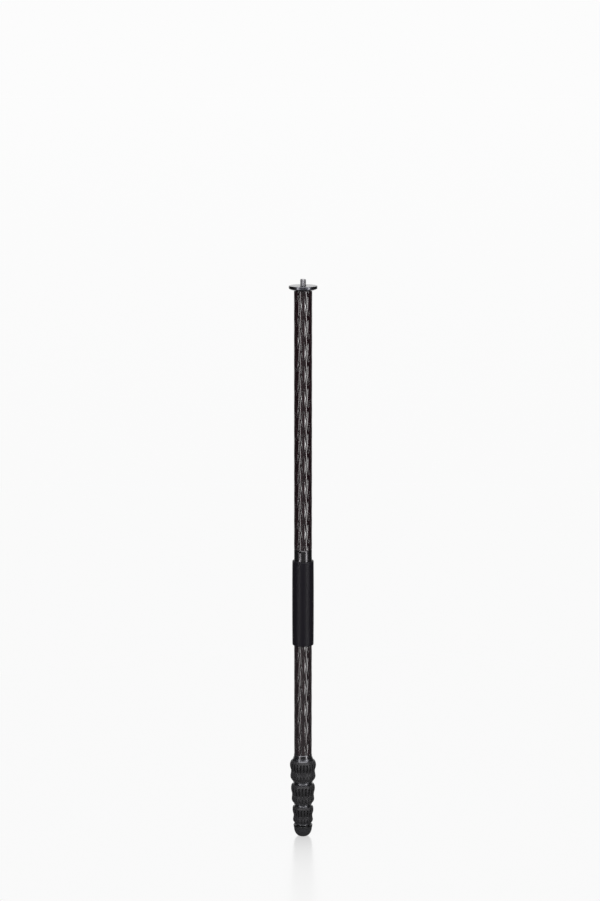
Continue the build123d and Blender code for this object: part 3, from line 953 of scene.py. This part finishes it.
@dataclass(frozen=True)
class TwistLock:
    """One twist lock: the ferrule above it, its metal nut and the fluted rubber round that."""

    number: int
    ring_height: float
    ring_radius: float
    lip_height: float
    lip_radius: float
    crest: Swell
    waist: Swell
    low_crest: Swell
    flutes: int
    flute_phase: float
    # Ferrule: how far its forms stand from the tube's surface, and how long they are.
    bond: float = 0.25
    band_rise: float = 0.3
    edge_height: float = 0.7
    thread_rise: float = 0.5
    thread_drop: float = 2.0
    thread_lead: float = 0.3
    nose_wall: float = 0.6
    nose_taper: float = 12.0
    # Nut: its bore and wall, the break in its ring's slope, and the recess over the next lock.
    bore_rise: float = 0.58
    nut_wall: float = 1.2
    ring_top_rise: float = 1.2
    ring_break_rise: float = 2.0
    ring_break_share: float = 0.6
    recess_play: float = 0.8
    recess_depth: float = 6.0
    # Rubber: how it starts and ends on the metal, as radius and height, and the slots in its swells.
    rubber_top_lap: float = 0.3
    rubber_top_heading: tuple[float, float] = (1.0, -0.8)
    rubber_bottom_lap: float = 0.9
    rubber_bottom_heading: tuple[float, float] = (-0.75, -1.0)
    rubber_bed: float = 0.8
    flute_reach: float = 1.25
    flute_wall: float = 0.5
    flute_end: float = 1.2
    flute_drop: float = 3.4
    flute_depth: float = 2.4
    low_flute_half: float = 3.6
    low_flute_depth: float = 1.0
    steps_per_flute: int = 28

    @property
    def span(self) -> Span:
        """Span of the lock's nut."""
        return Span.of(f"lock_nut_{self.number}")

    @property
    def tube_radius(self) -> float:
        """Radius of the tube above the lock."""
        return Span.of(f"leg_tube_{self.number}").radius

    @property
    def core(self) -> float:
        """Radius of the nut under the rubber."""
        return self.tube_radius + self.bore_rise + self.nut_wall

    def build(self) -> None:
        """Build the lock's pieces from the inside out."""
        self.ferrule()
        self.nut()
        self.rubber()

    def ferrule(self) -> None:
        """Turn the threaded ring on the upper tube's end, whose band shows above the lock."""
        node = f"ferrule_{self.number}"
        span = Span.of(node)
        inner = self.tube_radius - self.bond
        band = self.tube_radius + self.band_rise
        thread = self.tube_radius + self.thread_rise
        shoulder = self.span.top - self.thread_drop
        edge = span.top - self.edge_height
        outline = (
            Corner(inner, edge),
            Corner(band, edge),
            Corner(band, shoulder),
            Corner(thread, shoulder - self.thread_lead),
            Corner(thread, span.bottom, Rounding.HONED),
            Corner(thread - self.nose_wall, span.bottom),
            Corner(inner, span.bottom + self.nose_taper),
        )
        berth = Berth(f"section_{self.number}", Slot.FERRULE, node)
        finished(f"ferrule_band_{self.number}", turned(outline), COLLAR_BLACK, berth)
        bright = (
            Corner(inner, edge),
            Corner(band, edge),
            Corner(band, edge + self.edge_height / 4, Rounding.HONED),
            Corner(self.tube_radius + FIT, span.top, Rounding.HONED),
            Corner(inner, span.top),
        )
        finished(f"ferrule_edge_{self.number}", turned(bright), BRIGHT_EDGE, berth)

    def nut(self) -> None:
        """Turn the nut, with a polished conical ring on top and a plain lip below."""
        span = self.span
        bore = self.tube_radius + self.bore_rise
        ring_bottom = span.top - self.ring_height
        lip_top = span.bottom + self.lip_height
        recess = Span.of(f"leg_tube_{self.number + 1}").radius + self.recess_play
        shoulder = span.bottom + self.recess_depth
        break_height = span.top - self.ring_break_share * self.ring_height
        outline = (
            Corner(bore, span.top, Rounding.HONED),
            Corner(self.tube_radius + self.ring_top_rise, span.top, Rounding.HONED),
            Corner(self.tube_radius + self.ring_break_rise, break_height, Rounding.BROKEN),
            Corner(self.ring_radius, ring_bottom, Rounding.HONED),
            Corner(self.core, ring_bottom),
            Corner(self.core, lip_top),
            Corner(self.lip_radius, lip_top, Rounding.HONED),
            Corner(self.lip_radius, span.bottom, Rounding.BROKEN),
            Corner(recess, span.bottom, Rounding.HONED),
            Corner(recess, shoulder),
            Corner(bore, shoulder),
        )
        berth = Berth(f"lock_{self.number}", Slot.LOCK, f"lock_nut_{self.number}")
        finished(f"lock_ring_{self.number}", turned(outline, 192), RING_BLACK, berth)

    def rubber(self) -> None:
        """Mould the rubber sleeve: two swells and a waist, with straight flutes pressed into the swells."""
        span = self.span
        inner = self.core + FIT
        upper = span.top - self.ring_height
        lower = span.bottom + self.lip_height
        lip = max(inner, self.lip_radius)
        down = (0.0, -1.0)
        knots = [(self.ring_radius + self.rubber_top_lap, upper, self.rubber_top_heading)]
        for swell in (self.crest, self.waist, self.low_crest):
            knots.append((swell.radius, span.top - swell.drop, down))
        knots.append((lip + self.rubber_bottom_lap, lower, self.rubber_bottom_heading))
        mesh = bmesh.new()
        wire = [mesh.verts.new((inner * MM, 0.0, upper * MM))]
        wire += [mesh.verts.new(point * MM) for point in swelling_line(knots)]
        wire.append(mesh.verts.new((inner * MM, 0.0, lower * MM)))
        for first, second in zip(wire, wire[1:] + wire[:1]):
            mesh.edges.new((first, second))
        spin_about_pole(mesh, self.flutes * self.steps_per_flute)
        self.press_flutes(mesh)
        berth = Berth(f"lock_{self.number}", Slot.LOCK_GRIP, f"lock_grip_{self.number}")
        finished(f"lock_rubber_{self.number}", mesh, LOCK_RUBBER, berth)

    def press_flutes(self, mesh: bmesh.types.BMesh) -> None:
        """Press evenly spaced straight slots into both swells, and note how far each point is sunk.

        Args:
            mesh: the rubber sleeve, in metres; its "sunk" layer gets a share from 0 to 1, which paints shade
                into the slots.
        """
        top = self.span.top
        low = top - self.low_crest.drop
        slots = (
            (top - self.ring_height - self.flute_drop, top - self.waist.drop, self.flute_depth),
            (low + self.low_flute_half, low - self.low_flute_half, self.low_flute_depth),
        )
        sunk = mesh.verts.layers.float.new("sunk")
        pitch = FULL_TURN / self.flutes
        start = math.radians(self.flute_phase - 90.0)
        floor = self.core + self.rubber_bed
        for vert in mesh.verts:
            reach, height = math.hypot(vert.co.x, vert.co.y) / MM, vert.co.z / MM
            if reach <= floor:
                continue
            offset = (math.atan2(vert.co.y, vert.co.x) - start + pitch / 2) % pitch - pitch / 2
            across = eased((self.flute_reach - abs(offset) * self.crest.radius) / self.flute_wall)
            for slot_top, slot_bottom, depth in slots:
                along = eased(min(slot_top - height, height - slot_bottom) / self.flute_end)
                share = across * along
                if share <= 0.0:
                    continue
                bed = max(floor, reach - depth * share)
                vert[sunk] = share
                vert.co.x *= bed / reach
                vert.co.y *= bed / reach


def eased(share: float) -> float:
    """Clamp a share to 0 and 1, and ease it at both ends."""
    share = max(0.0, min(1.0, share))
    return share * share * (3.0 - 2.0 * share)


def swelling_line(
    knots: Sequence[tuple[float, float, tuple[float, float]]], pull: float = 0.4, resolution: int = 14
) -> list[Vector]:
    """Draw a smooth outline through knots.

    Args:
        knots: radius, height and direction of travel at each one.
        pull: share of the drop to the next knot over which a knot's direction holds.
        resolution: points from one knot to the next.

    Returns:
        Points of the outline in the plane of X and Z, in the knots' units.
    """
    points: list[Vector] = []
    for knot, next_knot in zip(knots, knots[1:]):
        start, end = (Vector((radius, 0.0, height)) for radius, height, _ in (knot, next_knot))
        out, into = (Vector((x, 0.0, z)).normalized() for _, _, (x, z) in (knot, next_knot))
        reach = abs(end.z - start.z) * pull
        piece = interpolate_bezier(start, start + out * reach, end - into * reach, end, resolution)
        points += piece if not points else piece[1:]
    return points


@dataclass(frozen=True)
class Foot:
    """Foot: black plate with its anchor, and the rubber ball moulded round that."""

    body: str = "section_4"
    plate_height: float = 2.0
    lip_radius: float = 14.8
    lip_height: float = 1.8
    ball_radius: float = 14.2
    flat_radius: float = 3.0
    arc_step: int = 8
    fullness: float = 0.93
    anchor_radius: float = 8.0
    anchor_height: float = 1.5
    anchor_depth: float = 7.0
    neck_radius: float = 5.5

    def build(self) -> None:
        """Build the plate and the ball."""
        self.plate()
        self.ball()

    def plate(self) -> None:
        """Turn the plate, its stud and its anchor from one bar."""
        span = Span.of("foot_stud")
        plate_bottom = Span.of("rubber_foot").top
        plate_top = plate_bottom + self.plate_height
        outline = (
            Corner(0.0, span.bottom),
            Corner(self.anchor_radius, span.bottom, Rounding.BROKEN),
            Corner(self.anchor_radius, span.bottom + self.anchor_height, Rounding.BROKEN),
            Corner(self.neck_radius, span.bottom + self.anchor_height),
            Corner(self.neck_radius, plate_bottom),
            Corner(span.radius, plate_bottom, Rounding.BROKEN),
            Corner(span.radius, plate_top, Rounding.SOFT),
            Corner(STUD_RADIUS, plate_top),
            Corner(STUD_RADIUS, span.top, Rounding.SOFT),
            Corner(0.0, span.top),
        )
        berth = Berth(self.body, Slot.FOOT_PLATE, "foot_stud")
        finished("foot_plate", turned(outline, ring=False), PLATE_BLACK, berth)

    def ball(self) -> None:
        """Mould the ball, with a small flat under it and a lip against the plate."""
        span = Span.of("rubber_foot")
        anchor_bottom = span.top - self.anchor_depth
        anchor_top = anchor_bottom + self.anchor_height
        swell = self.ball_radius - self.flat_radius
        arc = []
        for angle in range(self.arc_step, 90 - self.arc_step, self.arc_step):
            lean = math.radians(angle)
            radius = self.flat_radius + swell * math.sin(lean) ** self.fullness
            arc.append(Corner(radius, self.ball_radius * (1.0 - math.cos(lean))))
        outline = (
            Corner(0.0, span.bottom),
            Corner(self.flat_radius, span.bottom, Rounding.BROKEN),
            *arc,
            Corner(self.ball_radius, self.ball_radius, Rounding.BROKEN),
            Corner(self.lip_radius, span.top - self.lip_height, Rounding.BROKEN),
            Corner(self.lip_radius, span.top, Rounding.BROKEN),
            Corner(self.neck_radius + FIT, span.top),
            Corner(self.neck_radius + FIT, anchor_top + FIT),
            Corner(self.anchor_radius + FIT, anchor_top + FIT),
            Corner(self.anchor_radius + FIT, anchor_bottom - FIT),
            Corner(0.0, anchor_bottom - FIT),
        )
        berth = Berth(self.body, Slot.FOOT_BALL, "rubber_foot")
        finished("foot_ball", turned(outline, ring=False), FOOT_RUBBER, berth)


@dataclass(frozen=True)
class Interior:
    """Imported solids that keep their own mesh: what sits inside the tubes and locks."""

    aluminium: tuple[str, ...] = ("column_end_insert", "foot_plug")
    collets: tuple[str, ...] = ("collet_1", "collet_2", "collet_3")
    seals: tuple[str, ...] = ("dust_seal_1", "dust_seal_2", "dust_seal_3")
    shims: tuple[str, ...] = ("anti_twist_shims_2", "anti_twist_shims_3", "anti_twist_shims_4")

    def build(self) -> None:
        """Give each inner solid its finish."""
        for finish, nodes in (
            (BARE_ALUMINIUM, self.aluminium),
            (COLLET_ACETAL, self.collets),
            (SEAL_FELT, self.seals),
            (SHIM_ACETAL, self.shims),
        ):
            for name in nodes:
                bpy.data.objects[name].material_slots[0].material = finish.material()
                LOG.info("%s: dressed in %s", name, finish.name)


@dataclass(frozen=True)
class Studio:
    """White sweep, two tall softboxes, one overhead and the camera.

    Places and sizes are metres, the sensor's width is millimetres, and angles are degrees.
    """

    camera_place: tuple[float, float, float] = (-0.0047, -3.496, 1.2655)
    camera_pitch: float = 10.4
    focal_pixels: float = 2300.0
    picture_height: float = 901.0
    sensor_width: float = 36.0
    # The two tall softboxes stand close by, so that they streak the lower tube too; their grids let
    # light out over 80 degrees.
    side_distance: float = 0.45
    side_width: float = 0.078
    side_height: float = 2.0
    side_lift: float = 0.01
    side_spread: float = 80.0
    left_azimuth: float = -41.0
    right_azimuth: float = 45.0
    left_power: float = 0.72
    right_power: float = 1.0
    overhead_power: float = 38.0
    overhead_size: tuple[float, float] = (2.4, 1.9)
    overhead_place: tuple[float, float, float] = (0.0, -0.8, 1.5)
    overhead_lean: float = 30.0
    # The sweep fills reflections behind the pole; in front, most of it is hidden by the dark room.
    sweep_edges: tuple[float, float] = (0.8, 0.95)
    front_share: float = 0.12
    fill: float = 0.05
    sweep_white: str = "#fcfcfc"
    floor_radius: float = 40.0
    floor_body: str = "#757575"
    floor_white: str = "#fdfdfd"
    floor_share: float = 0.96
    floor_roughness: float = 0.2
    acrylic_ior: float = 1.5
    # The pole's reflection is strong at the foot, faint for half a metre, and then gone.
    reflection_near: float = 1.75
    reflection_far: float = 0.22
    reflection_reach: float = 0.085
    reflection_end: tuple[float, float] = (0.5, 1.2)

    def build(self) -> None:
        """Set up everything that isn't part of the object."""
        self.camera()
        self.floor()
        self.world()
        self.side_softbox("softbox_left", self.left_azimuth, self.left_power)
        self.side_softbox("softbox_right", self.right_azimuth, self.right_power)
        turn = (self.overhead_lean, 0.0, 0.0)
        self.softbox("softbox_overhead", self.overhead_size, self.overhead_power, self.overhead_place, turn)
        bpy.context.scene.view_settings.view_transform = "Standard"

    def camera(self) -> None:
        """Stand a long lens a little above the pole, as the photograph was taken."""
        data = bpy.data.cameras.new("camera")
        data.sensor_width = self.sensor_width
        data.lens = self.focal_pixels / self.picture_height * self.sensor_width
        data.clip_start, data.clip_end = 0.1, 60.0
        view = bpy.data.objects.new("camera", data)
        view.location = self.camera_place
        view.rotation_euler = (math.radians(90.0 - self.camera_pitch), 0.0, 0.0)
        bpy.context.scene.collection.objects.link(view)
        bpy.context.scene.camera = view

    def floor(self) -> None:
        """Lay a large pale floor, white to the lens, that keeps the pole's soft shadow and reflection."""
        mesh = bmesh.new()
        bmesh.ops.create_circle(mesh, cap_ends=True, radius=self.floor_radius, segments=96)
        data = bpy.data.meshes.new("floor")
        mesh.to_mesh(data)
        mesh.free()
        data.materials.append(self.white_acrylic())
        sheet = bpy.data.objects.new("floor", data)
        bpy.context.scene.collection.objects.link(sheet)

    def white_acrylic(self) -> bpy.types.Material:
        """Make the floor's material: white acrylic under a faint gloss.

        Returns:
            The material.
        """
        made = bpy.data.materials.new("white_acrylic_sweep")
        made.use_nodes = True
        tree = made.node_tree
        tree.nodes.clear()
        ray = add_node(tree, "LightPath").outputs
        place = add_node(tree, "TexCoord").outputs["Object"]
        body = add_node(tree, "BsdfDiffuse", {"Color": linear(self.floor_body)})
        gloss = {"Color": linear("#ffffff"), "Roughness": self.floor_roughness}
        gloss = add_node(tree, "BsdfGlossy", gloss)
        mirror = add_node(tree, "Fresnel", {"IOR": self.acrylic_ior})
        acrylic = add_node(tree, "MixShader", {0: mirror, 1: body, 2: gloss})
        away = add_node(tree, "VectorMath", {0: place}, operation="LENGTH")
        fade = add_node(tree, "Math", {0: away, 1: -1.0 / self.reflection_reach}, operation="MULTIPLY")
        fade = add_node(tree, "Math", {0: fade}, operation="EXPONENT")
        fade = {0: fade, 1: self.reflection_near, 2: self.reflection_far}
        fade = add_node(tree, "Math", fade, operation="MULTIPLY_ADD")
        near, far = self.reflection_end
        end = {"Value": away, "From Min": near, "From Max": far, "To Min": 1.0, "To Max": 0.0}
        fade = add_node(tree, "Math", {0: fade, 1: add_node(tree, "MapRange", end)}, operation="MULTIPLY")
        mirror = add_node(tree, "Math", {0: mirror, 1: fade}, operation="MULTIPLY")
        white = add_node(tree, "Emission", {"Color": linear(self.floor_white), "Strength": 1.0})
        backdrop = add_node(tree, "MixShader", {0: mirror, 1: white, 2: gloss})
        seen = add_node(tree, "MixShader", {0: self.floor_share, 1: acrylic, 2: backdrop})
        lens = {0: ray["Is Camera Ray"], 1: ray["Is Transmission Ray"]}
        lens = add_node(tree, "Math", lens, operation="ADD", use_clamp=True)
        mirrored = {0: ray["Is Glossy Ray"], 1: self.open_sides(tree, "Object")}
        mirrored = add_node(tree, "Math", mirrored, operation="MULTIPLY")
        look = add_node(tree, "MixShader", {0: lens, 1: acrylic, 2: seen})
        look = add_node(tree, "MixShader", {0: mirrored, 1: look, 2: white})
        add_node(tree, "OutputMaterial", {"Surface": look})
        return made

    def open_sides(self, tree: bpy.types.NodeTree, space: str) -> bpy.types.Node:
        """Share of the white sweep that a reflection meets in a direction.

        It is all white behind the pole, a little white in front, and dark at both sides.

        Args:
            tree: floor's or world's node tree.
            space: Texture Coordinate output that holds the direction.

        Returns:
            Node that gives the share, from 0 to 1.
        """
        heading = add_node(tree, "TexCoord").outputs[space]
        level = add_node(tree, "VectorMath", {0: heading, 1: (1.0, 1.0, 0.0)}, operation="MULTIPLY")
        unit = add_node(tree, "VectorMath", {0: level}, operation="NORMALIZE")
        back = add_node(tree, "SeparateXYZ", {"Vector": unit}).outputs["Y"]
        front = add_node(tree, "Math", {0: back, 1: -1.0}, operation="MULTIPLY")
        shares = []
        for facing, full in ((back, 1.0), (front, self.front_share)):
            near, far = self.sweep_edges
            reach = {"Value": facing, "From Min": near, "From Max": far, "To Max": full}
            shares.append(add_node(tree, "MapRange", reach, interpolation_type="SMOOTHSTEP"))
        return add_node(tree, "Math", {0: shares[0], 1: shares[1]}, operation="ADD")

    def world(self) -> None:
        """Fill surfaces dimly, and show the white sweep to the lens and to reflections."""
        world = bpy.data.worlds.new("studio")
        bpy.context.scene.world = world
        world.use_nodes = True
        tree = world.node_tree
        tree.nodes.clear()
        ray = add_node(tree, "LightPath").outputs
        lens = {0: ray["Is Camera Ray"], 1: ray["Is Transmission Ray"]}
        lens = add_node(tree, "Math", lens, operation="ADD", use_clamp=True)
        mirrored = {0: ray["Is Glossy Ray"], 1: self.open_sides(tree, "Generated")}
        mirrored = add_node(tree, "Math", mirrored, operation="MULTIPLY")
        share = add_node(tree, "Math", {0: lens, 1: mirrored}, operation="MAXIMUM")
        fill = add_node(tree, "Background", {"Color": linear("#ffffff"), "Strength": self.fill})
        white = add_node(tree, "Background", {"Color": linear(self.sweep_white), "Strength": 1.0})
        look = add_node(tree, "MixShader", {0: share, 1: fill, 2: white})
        add_node(tree, "OutputWorld", {"Surface": look})

    def side_softbox(self, name: str, azimuth: float, power: float) -> None:
        """Stand a tall narrow softbox beside the pole, facing it.

        Args:
            name: lamp's name.
            azimuth: degrees round the pole from the camera's side.
            power: lamp power in watts.
        """
        turn = math.radians(azimuth)
        x, y = self.side_distance * math.sin(turn), -self.side_distance * math.cos(turn)
        place = (x, y, self.side_height / 2 + self.side_lift)
        size = (self.side_width, self.side_height)
        self.softbox(name, size, power, place, (90.0, 0.0, azimuth), self.side_spread)

    def softbox(
        self,
        name: str,
        size: tuple[float, float],
        power: float,
        place: tuple[float, float, float],
        turn: tuple[float, float, float],
        spread: float = 180.0,
    ) -> None:
        """Hang a rectangular softbox that the lens doesn't see.

        Args:
            name: lamp's name.
            size: width and height.
            power: lamp power in watts.
            place: its middle.
            turn: degrees about X, Y and Z from facing down.
            spread: degrees over which it lets light out.
        """
        data = bpy.data.lights.new(name, "AREA")
        data.shape = "RECTANGLE"
        data.size, data.size_y = size
        data.spread = math.radians(spread)
        data.energy = power
        lamp = bpy.data.objects.new(name, data)
        lamp.location = place
        lamp.rotation_euler = [math.radians(angle) for angle in turn]
        lamp.visible_camera = False
        bpy.context.scene.collection.objects.link(lamp)


LEG_WALL = 1.1
LEG_TUBES = tuple(Tube(f"leg_tube_{i}", f"section_{i}", LEG_WALL) for i in (1, 2, 3, 4))
LOCKS = (
    TwistLock(
        number=1,
        ring_height=4.6,
        ring_radius=17.0,
        lip_height=1.8,
        lip_radius=16.0,
        crest=Swell(20.65, 13.2),
        waist=Swell(18.9, 22.3),
        low_crest=Swell(19.95, 31.3),
        flutes=24,
        flute_phase=3.9,
    ),
    TwistLock(
        number=2,
        ring_height=3.4,
        ring_radius=16.2,
        lip_height=2.0,
        lip_radius=14.4,
        crest=Swell(18.9, 10.8),
        waist=Swell(17.25, 21.0),
        low_crest=Swell(17.9, 28.5),
        flutes=21,
        flute_phase=-2.6,
    ),
    TwistLock(
        number=3,
        ring_height=3.2,
        ring_radius=14.5,
        lip_height=2.8,
        lip_radius=13.5,
        crest=Swell(16.5, 9.8),
        waist=Swell(14.85, 18.7),
        low_crest=Swell(15.85, 26.0),
        flutes=20,
        flute_phase=9.0,
        recess_play=0.7,
        recess_depth=1.6,
    ),
)


def main() -> None:
    """Load the frame and build every sub-assembly."""
    logging.basicConfig(level=logging.INFO, format="%(message)s")
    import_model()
    Studio().build()
    for assembly in (Column(), LegHead(), *LEG_TUBES, *LOCKS, Foot(), Interior()):
        assembly.build()
    bpy.context.view_layer.update()


if __name__ == "__main__":
    main()
